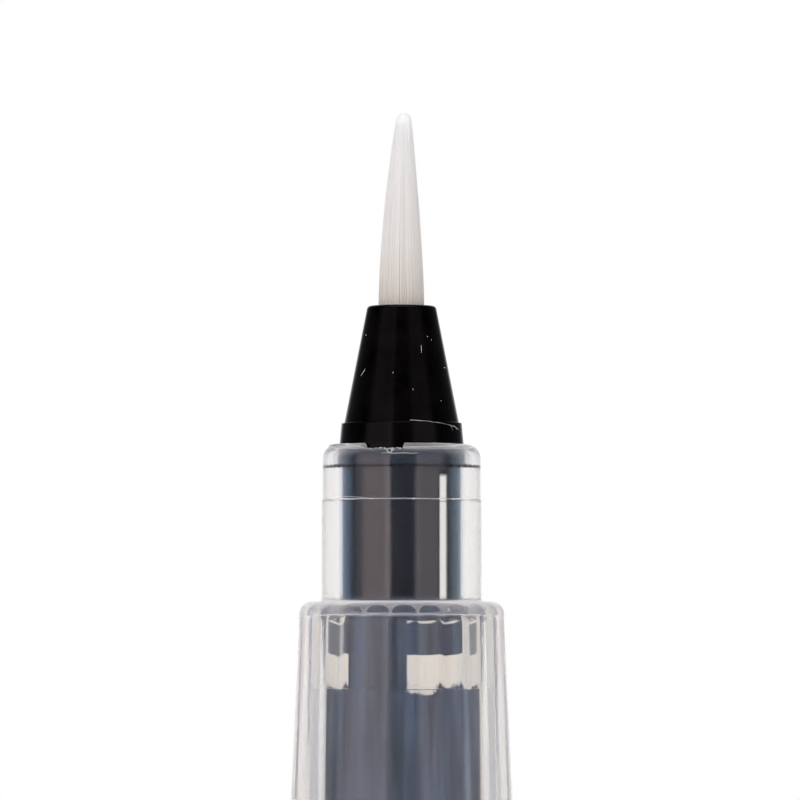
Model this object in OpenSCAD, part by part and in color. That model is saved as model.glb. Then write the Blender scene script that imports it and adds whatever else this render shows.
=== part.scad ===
// Refillable brush pen, standing on the closed end of its posted cap, tip up.
// Millimetres. The origin is the centre of the cap's flat end, and +Z runs along the pen to the tip.

/* [Pen] */
// Height of the fluted grip's shoulder above the base
shoulder_z = 127.4; // [120:0.1:140]
// Radius of the squeezable barrel
barrel_r = 7.2; // [7.16:0.02:7.6]
// Length of the fluted skirt below the shoulder
skirt_len = 22; // [21.5:0.25:24]

/* [Brush head] */
// Radius of the neck that the cap closes on
neck_r = 4.82; // [4.8:0.01:4.85]
// Height of the neck above the shoulder
neck_len = 9.5; // [9:0.1:11]
// Radius of the skirt just below the shoulder
skirt_top_r = 6.18; // [6.1:0.02:6.3]
// Number of flutes round the grip
flute_count = 24; // [16:1:30]
// Depth of a flute
flute_depth = 0.14; // [0.08:0.02:0.14]
// Height of the nose cone above the rim of the neck
nose_h = 8.4; // [7:0.1:10]
// Free length of the bristles
tuft_len = 11.74; // [8:0.1:14]
// Radius of the bristles where they leave the nose
tuft_r = 1.36; // [1.1:0.02:1.38]

/* [Screw] */
// Pitch of the thread between head and barrel
thread_pitch = 2.5; // [2.3:0.1:2.8]
// Turns of thread on each part
thread_turns = 2; // [1:0.25:2]

/* [Cap] */
// Length of the cap
cap_len = 35; // [34:0.5:36]
// Number of ribs that centre the liner in the cap
liner_ribs = 6; // [3:1:8]

/* [Hidden] */
$fn = 96;
RUN = 0.02;          // gap between two pieces that are pressed together
STEP = 0.1;          // overlap that joins two shapes of one piece
ARC_STEPS = 6;       // chords in a small rounded edge

// Heights along the head
rim_z = shoulder_z + neck_len;
ring_top_z = rim_z + 1.3;
mouth_z = rim_z + nose_h;
tip_z = mouth_z + tuft_len;
skirt_z = shoulder_z - skirt_len;
ceiling_z = shoulder_z - 0.8;

// Rim, flange and bore of the neck
lip_t = 0.46;
lip_r = 3.8;
flange_r = 4.1;
flange_t = 0.86;
flange_z = rim_z - lip_t - 0.02 - flange_t;
seat_z = flange_z - 0.05;
neck_bore_r = 3.72;
rim_round = 0.9;
shoulder_round = 0.8;

// Skirt
skirt_slope = 0.0426;
skirt_end_r = skirt_top_r + skirt_slope * skirt_len;
skirt_bore_r = 5.4;
groove_r = 5.9;
thread_top_z = skirt_z + 7.9;
flute_r = 2.1;
flute_turn = 1.3;      // the flutes sit a little off the front

// Nose cone and tuft
nose_top_r = 2.08;
nose_end_r = 3.47;
ring_r1 = 3.65;
ring_r2 = 3.76;
mouth_bore_r = tuft_r + 0.06;
bead_r = 1.9;
bead_t = 0.8;
bead_z = mouth_z - 5.1;
tip_r = 0.52;
wick_tip_r = 0.5;

// Feed core, stop ring, wick and sponge
core_r = 3.6;
core_top_z = seat_z;
plug_r = 2.85;
wick_r = 1.35;
wick_x = -1.1;          // the wick runs beside the axis, behind the leg
slit_x1 = 2.25;
slit_x2 = 2.85;
slit_slant = 0.084;   // sideways shift of the slit per unit of depth
slit_y = -2.8;
slit_top_z = rim_z - 1.9;
band_r = 4.18;
band_top_z = shoulder_z - 1.35;
band_z = shoulder_z - 3.27;
band_bore_r = 2.6;
band_gap_y = -0.7;      // the stop ring is open in front of this
band_bridge = 0.2;
leg_x1 = -3.0;
leg_x2 = 0.28;
leg_y = -2.2;
leg_z = shoulder_z - 5.15;
sponge_r = 4.54;
sponge_z2 = shoulder_z - 5.3;
sponge_z1 = skirt_z + 9.25;
sleeve_r = 5.25;
sleeve_z2 = shoulder_z - 5.1;
sleeve_z1 = skirt_z + 8.3;
wick_end_z = sponge_z1 + 5;

// Barrel, its neck and the gasket
barrel_z2 = skirt_z - 0.3;
barrel_z1 = cap_len + 1.3;
barrel_wall = 1;
barrel_end_r = 6.45;
barrel_taper_z = 62;
spigot_r = 5.3;
spigot_bore_r = 4.6;
spigot_z = skirt_z + 7.8;
gasket_t = 0.45;
crest_r = 5.75;
thread_z = skirt_z + 1.3;
pad_z = 80;
pad_len = 26;
pad_w = 8.6;
pad_depth = 0.4;

// Tail plug
post_r = 4.78;
post_len = 9;
post_z2 = cap_len + 0.3;
plug_bore_r = 3.9;
tail_spigot_r = barrel_end_r - barrel_wall - RUN;
tail_spigot_len = 6;
tail_groove_r = 4.95;
tail_groove_z = barrel_z1 + 2.4;
tail_groove_w = 1;

// Cap, liner and clip
cap_bore_r = 4.86;
cap_mouth_r = 6.3;
cap_end_r = 6.05;
cap_floor = 1.2;
liner_z2 = cap_len - 9.4;
liner_z1 = cap_floor + 0.1;
liner_r = 4.6;
liner_bore_r = 4.1;
liner_floor = 0.8;
clip_w = 3.2;
clip_t = 1.1;
clip_gap = 0.9;
clip_z1 = 3.6;
clip_z2 = 29;

// Points of an arc about [x, y], from angle a1 to a2.
function arc(x, y, r, a1, a2) =
    [for (i = [0:ARC_STEPS]) let (a = a1 + (a2 - a1) * i / ARC_STEPS) [x + r * cos(a), y + r * sin(a)]];

// A solid of revolution from [radius, height] points.
module turned(points) {
    rotate_extrude() polygon(points);
}

module ring(r_out, r_in, z1, z2) {
    translate([0, 0, z1])
        difference() {
            cylinder(r = r_out, h = z2 - z1);
            translate([0, 0, -1]) cylinder(r = r_in, h = z2 - z1 + 2);
        }
}

module bore(r, z1, z2) {
    translate([0, 0, z1]) cylinder(r = r, h = z2 - z1);
}

// A helical ridge on a wall of radius r_wall that reaches r_crest; both ends sink into the wall.
module helix_ridge(r_wall, r_crest, z, turns, pitch, w_wall, w_crest) {
    steps = round(turns * 24);
    fade = 3;
    side = r_wall < r_crest ? 1 : -1;
    root = r_wall - side * 0.2;
    section = [for (i = [0:steps])
        let (a = 360 * turns * i / steps, zc = z + pitch * a / 360,
            share = min(1, i / fade, (steps - i) / fade),
            r = (r_wall - side * 0.12) * (1 - share) + r_crest * share)
        [[root, zc - w_wall / 2, a], [r, zc - w_crest / 2, a],
         [r, zc + w_crest / 2, a], [root, zc + w_wall / 2, a]]];
    points = [for (s = section) for (p = s) [p[0] * cos(p[2]), p[0] * sin(p[2]), p[1]]];
    sides = [for (i = [0:steps - 1]) for (k = [0:3])
        let (a = 4 * i + k, b = 4 * i + (k + 1) % 4)
        each [[a, b, b + 4], [a, b + 4, a + 4]]];
    last = 4 * steps;
    caps = [[0, 2, 1], [0, 3, 2], [last, last + 1, last + 2], [last, last + 2, last + 3]];
    faces = concat(sides, caps);
    polyhedron(points, side > 0 ? faces : [for (f = faces) [f[0], f[2], f[1]]]);
}

// Bristles: tapered bundle, and the fused bead that holds it in the nose.
module bristle_tuft() {
    tip_c = tip_z - tip_r;
    color("white")
        difference() {
            turned(concat(
                [[0, bead_z], [bead_r, bead_z], [bead_r, bead_z + bead_t], [tuft_r, bead_z + bead_t],
                 [tuft_r, mouth_z], [1.2, mouth_z + 2.9], [0.98, mouth_z + 6.2], [0.72, mouth_z + 9.4]],
                arc(0, tip_c, tip_r, 20, 90)));
            bore(wick_tip_r + 0.05, bead_z - 1, bead_z + 1.9);
        }
}

// Black cone that carries the tuft; its flange snaps under the rim of the neck.
module nose_cone() {
    color([0.05, 0.05, 0.05])
        difference() {
            turned(concat(
                [[0, flange_z], [flange_r, flange_z], [flange_r, flange_z + flange_t],
                 [ring_r2, flange_z + flange_t], [ring_r2, rim_z], [ring_r1 + 0.03, ring_top_z - 0.12],
                 [ring_r1 - 0.07, ring_top_z], [nose_end_r, ring_top_z]],
                arc(nose_top_r - 0.18, mouth_z - 0.18, 0.18, 8, 90), [[0, mouth_z]]));
            bore(mouth_bore_r, bead_z, mouth_z + 1);
            bore(bead_r + RUN, flange_z - 1, bead_z + bead_t + RUN);
            bore(plug_r + RUN, flange_z - 1, rim_z + 0.7);
        }
}

// Slanted slit on one side of the core and the stop ring, from the height z up.
module slit(z) {
    translate([0, 0, z])
        linear_extrude(slit_top_z - z)
            polygon([for (p = [[slit_x1, -1], [slit_x2, -1], [slit_x2, 1], [slit_x1, 1]])
                let (y = p[1] * (band_r + 1)) [p[0] + slit_slant * (y - slit_y), y]]);
}

// Upper part of the feed core; the slit frees one side as a snap arm.
module core_body() {
    difference() {
        union() {
            bore(core_r, ceiling_z - STEP, core_top_z - RUN);
            bore(plug_r, core_top_z - STEP, rim_z + 0.7 - RUN);
            bore(bead_r, rim_z, bead_z - RUN);
            bore(band_r - 0.08, band_top_z + RUN, ceiling_z - RUN);
        }
        slit(band_top_z - 1);
    }
}

// Black feed core in the neck: holds the tuft up, carries the wick, and presses on the sponge with one leg.
module feed_core() {
    color([0.08, 0.08, 0.1])
        difference() {
            union() {
                core_body();
                intersection() {
                    bore(band_r, leg_z, band_top_z + STEP);
                    translate([leg_x1, -band_r - 1, leg_z])
                        cube([leg_x2 - leg_x1, band_r + 1 + leg_y, band_top_z + 1 - leg_z]);
                }
            }
            translate([wick_x, 0, 0])
                bore(wick_r + RUN, leg_z - 1, rim_z + 0.7 - 1.2);
            bore(wick_tip_r + 0.03, rim_z - 1, bead_z + 1);
        }
}

// C-shaped stop ring below the core, open where the leg passes.
module stop_ring() {
    color([0.08, 0.08, 0.1])
        difference() {
            ring(band_r, band_bore_r, band_z, band_top_z);
            translate([leg_x1 - RUN, -band_r - 1, band_z - 1])
                cube([leg_x2 - leg_x1 + 2 * RUN, band_r + 1 + band_gap_y, band_top_z - band_z + 2]);
            slit(band_z + band_bridge);
        }
}

// Fibre wick from the sponge to the root of the tuft, with a thin tip.
module relay_wick() {
    color([0.93, 0.9, 0.84]) {
        translate([wick_x, 0, 0])
            bore(wick_r, wick_end_z, rim_z + 0.7 - 1.2 - RUN);
        bore(wick_tip_r, rim_z - 0.9, bead_z + 1.7);
    }
}

// Fibre sponge that holds the liquid behind the brush.
module wick_sponge() {
    color([0.18, 0.2, 0.24])
        difference() {
            bore(sponge_r, sponge_z1, sponge_z2);
            translate([wick_x, 0, 0])
                bore(wick_r + RUN, wick_end_z - RUN, sponge_z2 + 1);
        }
}

// Clear sleeve round the sponge.
module sponge_sleeve() {
    color([0.9, 0.88, 0.85]) {
        ring(sleeve_r, sponge_r + RUN, sleeve_z1, sleeve_z2);
        ring(skirt_bore_r - RUN, sleeve_r - STEP, sleeve_z1, sleeve_z1 + 0.9);
    }
}

// Disc under the sponge that meters the flow.
module metering_disc() {
    hole_r = 0.4;
    hole_circle = 2.6;
    color([0.85, 0.85, 0.85])
        difference() {
            bore(sponge_r - RUN, sleeve_z1 + 0.05, sponge_z1 - RUN);
            bore(hole_r, sleeve_z1 - 1, sponge_z1 + 1);
            for (i = [0:5])
                rotate([0, 0, 60 * i]) translate([hole_circle, 0, 0])
                    bore(hole_r, sleeve_z1 - 1, sponge_z1 + 1);
        }
}

// One flute, cut along the sloping side of the skirt.
module flute() {
    tilt = atan(skirt_slope);
    reach = skirt_top_r + flute_r - flute_depth;
    translate([reach, 0, shoulder_z - 0.4])
        rotate([0, 180 - tilt, 0]) cylinder(r = flute_r, h = skirt_len + 2);
}

// Clear front section: neck with a notched snap rim, shoulder, and the fluted skirt with its thread.
module front_section() {
    notch_w = 2.7;
    notch_h = 0.36;
    color([0.88, 0.86, 0.84])
        difference() {
            union() {
                difference() {
                    turned(concat(
                        [[0, skirt_z], [skirt_end_r, skirt_z]],
                        arc(skirt_top_r - shoulder_round, shoulder_z - shoulder_round, shoulder_round, 3, 90),
                        [[neck_r, shoulder_z]],
                        arc(neck_r - rim_round, rim_z - rim_round, rim_round, 0, 90),
                        [[0, rim_z]]));
                    bore(lip_r, rim_z - lip_t - STEP, rim_z + 1);
                    bore(flange_r + 0.06, seat_z, rim_z - lip_t);
                    bore(neck_bore_r, ceiling_z - STEP, seat_z + STEP);
                    bore(skirt_bore_r, thread_top_z - STEP, ceiling_z);
                    bore(groove_r, skirt_z - 1, thread_top_z);
                    for (i = [0:flute_count - 1])
                        rotate([0, 0, 360 / flute_count * i + flute_turn]) flute();
                }
                rotate([0, 0, 180])
                    helix_ridge(groove_r, spigot_r + 0.12, thread_z, thread_turns, thread_pitch, 0.9, 0.5);
            }
            for (a = [-105, 15, 135])
                rotate([0, 0, a]) translate([0, -notch_w / 2, rim_z - notch_h])
                    cube([neck_r + 1, notch_w, notch_h + 1]);
        }
}

// Rubber washer between the sleeve and the lip of the barrel.
module seal_gasket() {
    color([0.12, 0.12, 0.12])
        ring(spigot_r, spigot_bore_r, spigot_z + 0.02, spigot_z + gasket_t);
}

// Shallow oval pad that marks where the barrel is squeezed, with three raised bars.
module squeeze_pad() {
    bar_len = 4.4;
    difference() {
        translate([0, -barrel_r + pad_depth, pad_z])
            rotate([90, 0, 0])
                union() {
                    cylinder(r = pad_w / 2, h = 4);
                    for (s = [-1, 1]) translate([0, s * (pad_len - pad_w) / 2, 0]) cylinder(r = pad_w / 2, h = 4);
                    translate([-pad_w / 2, -(pad_len - pad_w) / 2, 0]) cube([pad_w, pad_len - pad_w, 4]);
                }
        for (i = [-2:2])
            translate([-bar_len / 2, -barrel_r - 1, pad_z + 4 * i - 0.5])
                cube([bar_len, 1 + pad_depth - 0.08 + STEP, 1]);
    }
}

// Squeezable barrel: clear tube with a threaded spigot at the top and an open tail.
module reservoir_barrel() {
    edge = 0.6;
    color([0.9, 0.88, 0.86])
        difference() {
            union() {
                turned(concat(
                    [[barrel_end_r - barrel_wall, barrel_z1], [barrel_end_r, barrel_z1], [barrel_r, barrel_taper_z]],
                    arc(barrel_r - edge, barrel_z2 - edge, edge, 0, 90),
                    [[spigot_r, barrel_z2], [spigot_r, spigot_z], [spigot_bore_r, spigot_z],
                     [spigot_bore_r, barrel_z2 - 0.4], [barrel_r - barrel_wall, barrel_z2 - 2.4],
                     [barrel_r - barrel_wall, barrel_taper_z],
                     [barrel_end_r - barrel_wall, barrel_z1 + tail_spigot_len + 1]]));
                helix_ridge(spigot_r, crest_r, thread_z, thread_turns, thread_pitch, 0.9, 0.5);
            }
            for (a = [0, 180]) rotate([0, 0, a]) squeeze_pad();
        }
}

// Tail plug: closes the barrel, and its post takes the cap.
module tail_plug() {
    color([0.9, 0.88, 0.86])
        difference() {
            turned(concat(
                [[0, post_z2 - post_len], [post_r - 0.4, post_z2 - post_len], [post_r, post_z2 - post_len + 0.4],
                 [post_r, post_z2], [barrel_end_r - 0.2, post_z2], [barrel_end_r, post_z2 + 0.2],
                 [barrel_end_r, barrel_z1 - RUN], [tail_spigot_r, barrel_z1 - RUN],
                 [tail_spigot_r, tail_groove_z], [tail_groove_r, tail_groove_z],
                 [tail_groove_r, tail_groove_z + tail_groove_w], [tail_spigot_r, tail_groove_z + tail_groove_w],
                 [tail_spigot_r, barrel_z1 + tail_spigot_len - 0.3],
                 [tail_spigot_r - 0.3, barrel_z1 + tail_spigot_len], [0, barrel_z1 + tail_spigot_len]]));
            bore(plug_bore_r, post_z2 - post_len + 1, barrel_z1 + tail_spigot_len + 1);
        }
}

// Ring in the groove of the tail plug.
module tail_seal_ring() {
    section_r = (tail_spigot_r - tail_groove_r) / 2 - 0.01;
    color([0.12, 0.12, 0.12])
        translate([0, 0, tail_groove_z + tail_groove_w / 2])
            rotate_extrude() translate([tail_groove_r + section_r + 0.01, 0]) circle(r = section_r, $fn = 32);
}

// Clear cap with vent slots in its closed end and a socket for the clip.
module cap_shell() {
    edge = 0.5;
    socket_z = clip_z1 + 0.4;
    color([0.9, 0.9, 0.9])
        difference() {
            turned(concat(
                [[0, 0], [cap_end_r - edge, 0]],
                arc(cap_end_r - edge, edge, edge, -75, 0),
                [[cap_mouth_r, cap_len - 0.4], [cap_mouth_r - 0.2, cap_len], [cap_bore_r + 0.25, cap_len],
                 [cap_bore_r, cap_len - 0.3], [cap_bore_r, cap_floor], [0, cap_floor]]));
            for (i = [0:2])
                rotate([0, 0, 120 * i + 90]) translate([3.2, -1.1, -1]) cube([0.8, 2.2, cap_floor + 2]);
            translate([-clip_w / 2 - RUN, cap_end_r - 0.7, socket_z])
                cube([clip_w + 2 * RUN, 3, 2.6 + 2 * RUN]);
        }
}

// Inner cup that seals on the rim of the neck when the pen is capped.
module cap_liner() {
    rib_w = 0.7;
    color([0.95, 0.95, 0.95])
        difference() {
            union() {
                bore(liner_r, liner_z1, liner_z2);
                bore(cap_bore_r - RUN, liner_z2 - 1, liner_z2);
                intersection() {
                    bore(cap_bore_r - RUN, liner_z1, liner_z2);
                    for (i = [0:liner_ribs - 1])
                        rotate([0, 0, 360 / liner_ribs * i])
                            translate([0, -rib_w / 2, liner_z1]) cube([cap_bore_r, rib_w, liner_z2 - liner_z1]);
                }
            }
            bore(liner_bore_r, liner_z1 + liner_floor, liner_z2 + 1);
        }
}

// Pocket clip: a tab in the cap's socket, a tongue along the cap, and a bead that grips.
module cap_clip() {
    y0 = cap_end_r - 0.7 + RUN;
    y1 = cap_mouth_r + clip_gap;
    tab_z = clip_z1 + 0.4 + RUN;
    color([0.9, 0.9, 0.9])
        intersection() {
            union() {
                translate([-clip_w / 2, y0, tab_z]) cube([clip_w, y1 - y0 + STEP, 2.6]);
                translate([-clip_w / 2, y1, tab_z]) cube([clip_w, clip_t, clip_z2 - tab_z]);
                translate([-clip_w / 2, y1 + 0.2, clip_z2 - 1.6]) rotate([0, 90, 0])
                    cylinder(r = 0.75, h = clip_w, $fn = 32);
            }
            union() {
                translate([-5, 0, 0]) cube([10, 20, clip_z2 - clip_w / 2]);
                translate([0, 0, clip_z2 - clip_w / 2]) rotate([-90, 0, 0]) cylinder(r = clip_w / 2, h = 20);
            }
        }
}

bristle_tuft();
nose_cone();
feed_core();
stop_ring();
relay_wick();
wick_sponge();
sponge_sleeve();
metering_disc();
front_section();
seal_gasket();
reservoir_barrel();
tail_plug();
tail_seal_ring();
cap_shell();
cap_liner();
cap_clip();
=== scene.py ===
import math
import random

import bmesh
import bpy
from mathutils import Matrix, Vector

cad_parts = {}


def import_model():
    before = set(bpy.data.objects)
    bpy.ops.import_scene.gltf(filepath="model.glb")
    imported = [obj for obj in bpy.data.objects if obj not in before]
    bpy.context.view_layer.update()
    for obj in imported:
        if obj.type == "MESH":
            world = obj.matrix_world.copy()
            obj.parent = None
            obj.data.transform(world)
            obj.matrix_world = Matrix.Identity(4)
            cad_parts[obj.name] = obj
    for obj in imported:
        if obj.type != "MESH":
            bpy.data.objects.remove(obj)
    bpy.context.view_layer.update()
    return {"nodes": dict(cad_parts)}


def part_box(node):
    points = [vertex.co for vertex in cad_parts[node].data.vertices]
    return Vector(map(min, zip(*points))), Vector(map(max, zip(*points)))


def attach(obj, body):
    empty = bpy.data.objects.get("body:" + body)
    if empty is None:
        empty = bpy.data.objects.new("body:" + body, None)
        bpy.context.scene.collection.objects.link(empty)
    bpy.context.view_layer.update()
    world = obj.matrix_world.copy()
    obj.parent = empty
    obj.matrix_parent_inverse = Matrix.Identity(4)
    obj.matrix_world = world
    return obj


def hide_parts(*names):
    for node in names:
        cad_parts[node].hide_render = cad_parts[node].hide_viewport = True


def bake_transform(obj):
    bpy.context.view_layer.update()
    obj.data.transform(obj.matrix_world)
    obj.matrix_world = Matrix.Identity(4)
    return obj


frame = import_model()

# ---------------- sizes, in millimetres
MM = 0.001


def low(node):
    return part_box(node)[0] / MM


def high(node):
    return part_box(node)[1] / MM


# Heights that the frame gives
SKIRT_Z = low("front_section").z
RIM_Z = high("front_section").z
MOUTH_Z = high("nose_cone").z
TIP_Z = high("bristle_tuft").z
FLANGE_Z = low("nose_cone").z
SPONGE_Z1 = low("wick_sponge").z
SPONGE_Z2 = high("wick_sponge").z
SLEEVE_Z1 = low("sponge_sleeve").z
BAND_Z1 = low("stop_ring").z
BAND_Z2 = high("stop_ring").z
LEG_Z = low("feed_core").z
PLUG_TOP_Z = high("feed_core").z
BARREL_Z1 = low("reservoir_barrel").z
SPIGOT_Z = high("reservoir_barrel").z
POST_Z = low("tail_plug").z
CAP_Z2 = high("cap_shell").z
WICK_Z1 = low("relay_wick").z

# The front section, from the CAD model but for the flutes
NECK_LEN = 9.5
SHOULDER_Z = RIM_Z - NECK_LEN
NECK_R = 4.84
NECK_UPPER_R = 4.79
SEAM_Z = SHOULDER_Z + 6.1
RIM_ROUND = 0.88
LIP_R = 3.8
LIP_T = 0.46
GROOVE_R = 4.16
SEAT_Z = FLANGE_Z - 0.05
NECK_BORE_R = 3.72
CEILING_Z = SHOULDER_Z - 0.8
SKIRT_BORE_R = 5.4
SKIRT_TOP_R = 6.2
SKIRT_END_R = 7.13
SHOULDER_ROUND = 0.8
THREAD_TOP_Z = SKIRT_Z + 7.9
THREAD_GROOVE_R = 5.9
FLUTES = 24
FLUTE_DEPTH = 0.03
FLUTE_TOP_DEPTH = 0.1
FLUTE_TURN = 1.3
FLUTE_SHARE = 0.93
FLUTE_TOP_Z = SHOULDER_Z - 0.12
FLUTE_ROUND = 0.75
LIP_STEP_R = 4.42
THREAD_PITCH = 2.5
THREAD_TURNS = 2
THREAD_WALL_W = 0.9
THREAD_CREST_W = 0.45
THREAD_Z = SKIRT_Z + 1.3

# Nose cone and its ring
NOSE_TOP_R = 2.07
NOSE_END_R = 3.47
RING_TOP_Z = RIM_Z + 1.3
RING_R1 = 3.64
RING_R2 = 3.76
MOUTH_BORE_R = 1.42
MOUTH_BORE_LEN = 4.28
NOSE_BORE_R = 1.92
SOCKET_R = 2.87
SOCKET_TOP_Z = RIM_Z + 0.7
FLANGE_R = 3.86
FLANGE_TOP_Z = FLANGE_Z + 0.84
FOOT_R = GROOVE_R + 0.03

# Tuft, with the bead at its root
TUFT_R = 1.37
TIP_R = 0.5
ROOT_R = 1.88
ROOT_Z1 = MOUTH_Z - 5.0
ROOT_Z2 = MOUTH_Z - 4.32
STEM_R = 1.3

# Feed core, stop ring, wick, sponge and sleeve
CORE_R = 3.6
PLUG_R = 2.85
PLUG_TIP_R = 1.9
CHANNEL_R = 0.56
BAND_R = 4.16
SLIT_X1 = 2.08
SLIT_X2 = 2.48
SLIT_SLANT = 0.084
SLIT_Y = -2.8
SLIT_TOP_Z = RIM_Z - 1.88
LEG_X1 = -3.0
LEG_X2 = 0.28
LEG_Y = -2.2
BAND_BORE_R = 2.6
BAND_BRIDGE = 0.2
LEG_SUNK = 0.3
WICK_R = 1.35
WICK_X = -1.1
SPONGE_R = 4.54
SLEEVE_R = 5.25

# Barrel and its squeeze pads
SPIGOT_R = 5.3
SPIGOT_BORE_R = 4.6
BARREL_R = 7.2
BARREL_END_R = 6.45
BARREL_WALL = 1.0
TAPER_Z = BARREL_Z1 + 25.7
BARREL_Z2 = SKIRT_Z - 0.3
PAD_Z = TAPER_Z + 18
PAD_LEN = 26.0
PAD_W = 8.6
PAD_DEPTH = 0.4

# Tail post, cap and liner
POST_R = 4.78
POST_TOP_Z = CAP_Z2 + 0.3
CAP_BORE_R = 4.86
CAP_MOUTH_R = 6.3
CAP_END_R = 6.05
CAP_FLOOR = 1.2
LINER_RIBS = 6
LINER_R = 4.6
LINER_BORE_R = 4.1

# ---------------- mesh helpers
def rounded(corners, steps=6):
    """A closed outline of (radius, height) points, with each (r, z, size) corner turned into an arc."""
    out = []
    count = len(corners)
    for i, corner in enumerate(corners):
        p = Vector(corner[:2])
        size = corner[2] if len(corner) > 2 else 0
        if not size:
            out.append((p.x, p.y))
            continue
        to_last = Vector(corners[i - 1][:2]) - p
        to_next = Vector(corners[(i + 1) % count][:2]) - p
        half = to_last.angle(to_next) / 2
        reach = size / math.tan(half)
        a, b = p + to_last.normalized() * reach, p + to_next.normalized() * reach
        centre = p + (to_last.normalized() + to_next.normalized()).normalized() * (size / math.sin(half))
        first, last = a - centre, b - centre
        turn = math.atan2(first.x * last.y - first.y * last.x, first.dot(last))
        for k in range(steps + 1):
            t = turn * k / steps
            x = first.x * math.cos(t) - first.y * math.sin(t)
            y = first.x * math.sin(t) + first.y * math.cos(t)
            out.append((centre.x + x, centre.y + y))
    return supported(out)


def supported(points, least=0.45, near=0.03):
    """Adds a point just inside each end of a long straight, so that smooth shading keeps it flat."""
    out = []
    for i, p in enumerate(points):
        a, b = Vector(p), Vector(points[(i + 1) % len(points)])
        out.append(p)
        if (b - a).length > least:
            step = (b - a).normalized() * near
            out += [tuple(a + step), tuple(b - step)]
    return out


def lathe(outline, segments=192, shape=None):
    """Vertices and faces of the closed outline turned about Z. shape(r, z, angle) may move a point."""
    verts, rings = [], []
    for r, z in outline:
        if r < 1e-6:
            rings.append([len(verts)] * segments)
            verts.append((0.0, 0.0, z))
            continue
        ring = []
        for k in range(segments):
            a = math.tau * k / segments
            rr, zz = shape(r, z, a) if shape else (r, z)
            ring.append(len(verts))
            verts.append((rr * math.cos(a), rr * math.sin(a), zz))
        rings.append(ring)
    faces = []
    for i, ring in enumerate(rings):
        above = rings[(i + 1) % len(rings)]
        for k in range(segments):
            n = (k + 1) % segments
            face = []
            for v in (ring[k], ring[n], above[n], above[k]):
                if v not in face:
                    face.append(v)
            if len(face) > 2:
                faces.append(face)
    return verts, faces


def skin(rings, sides):
    """Faces round a row of rings of vertices, with both ends closed."""
    faces = []
    for i in range(rings - 1):
        for k in range(sides):
            a, b = i * sides + k, i * sides + (k + 1) % sides
            faces.append([a, b, b + sides, a + sides])
    faces.append(list(range(sides)))
    faces.append([(rings - 1) * sides + k for k in range(sides)])
    return faces


def thread_ridge(r_wall, r_crest, start=0.0):
    """A thread ridge with rounded flanks, rooted a little inside the wall. It fades in and out."""
    steps = 72 * THREAD_TURNS
    fade = 9
    root = r_wall - math.copysign(0.1, r_crest - r_wall)
    wall, crest, ease = THREAD_WALL_W / 2, THREAD_CREST_W / 2, 0.06
    section = [(0.0, -wall), (0.7, -crest - ease), (1.0, -crest + ease),
               (1.0, crest - ease), (0.7, crest + ease), (0.0, wall)]
    verts = []
    for i in range(steps + 1):
        a = math.tau * THREAD_TURNS * i / steps
        grown = min(1, i / fade, (steps - i) / fade)
        top = root + (r_crest - root) * max(grown, 0.05)
        for up, dz in section:
            r = root + (top - root) * up
            z = THREAD_Z + THREAD_PITCH * a / math.tau + dz
            verts.append((r * math.cos(a + start), r * math.sin(a + start), z))
    return verts, skin(steps + 1, len(section))


def tube(path, radii, sides=6):
    """A closed tube along path, with a radius at each point."""
    verts = []
    points = [Vector(p) for p in path]
    for i, p in enumerate(points):
        along = (points[min(i + 1, len(points) - 1)] - points[max(i - 1, 0)]).normalized()
        across = along.cross(Vector((0.31, 0.95, 0.05))).normalized()
        up = along.cross(across)
        for k in range(sides):
            a = math.tau * k / sides
            verts.append(tuple(p + (across * math.cos(a) + up * math.sin(a)) * radii[i]))
    return verts, skin(len(points), sides)


def near_side(r, x, z):
    """The point of a cylinder's near side at x."""
    return x, -math.sqrt(max(r * r - x * x, 0.0)), z


def joined(parts):
    """Several geometries as one."""
    verts, faces = [], []
    for v, f in parts:
        base = len(verts)
        verts += v
        faces += [[i + base for i in face] for face in f]
    return verts, faces


def block(lo, hi):
    """A box given by two corners, used to cut slots."""
    xs, ys, zs = zip(lo, hi)
    verts = [(x, y, z) for x in xs for y in ys for z in zs]
    faces = [[0, 1, 3, 2], [4, 6, 7, 5], [0, 4, 5, 1], [2, 3, 7, 6], [0, 2, 6, 4], [1, 5, 7, 3]]
    return verts, faces


def new_object(name, data):
    obj = bpy.data.objects.new(name, data)
    bpy.context.scene.collection.objects.link(obj)
    return obj


def make(name, geometry, material, sharp=40):
    """A mesh object from millimetre geometry, smooth except across edges sharper than the angle."""
    verts, faces = geometry
    mesh = bpy.data.meshes.new(name)
    mesh.from_pydata([tuple(c * MM for c in v) for v in verts], [], faces)
    if material:
        mesh.materials.append(material)
    obj = new_object(name, mesh)
    soften(obj, sharp)
    return obj


def soften(obj, sharp=40):
    """Outward normals, smooth faces and sharp edges by angle."""
    bm = bmesh.new()
    bm.from_mesh(obj.data)
    bmesh.ops.recalc_face_normals(bm, faces=bm.faces)
    for f in bm.faces:
        f.smooth = True
    for e in bm.edges:
        e.smooth = len(e.link_faces) == 2 and e.calc_face_angle() < math.radians(sharp)
    bm.to_mesh(obj.data)
    bm.free()


def keep_modified(obj):
    """Makes the modifiers' result the object's own mesh."""
    bpy.context.view_layer.update()
    evaluated = obj.evaluated_get(bpy.context.evaluated_depsgraph_get())
    result = bpy.data.meshes.new_from_object(evaluated)
    obj.modifiers.clear()
    obj.data = result
    soften(obj)


def cut(obj, geometry, operation="DIFFERENCE"):
    """Cuts the geometry out of the object, joins it on, or keeps what both share."""
    tool = make("cutter", geometry, None)
    modifier = obj.modifiers.new("cut", "BOOLEAN")
    modifier.operation = operation
    modifier.solver = "EXACT"
    modifier.object = tool
    keep_modified(obj)
    bpy.data.objects.remove(tool)


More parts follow.
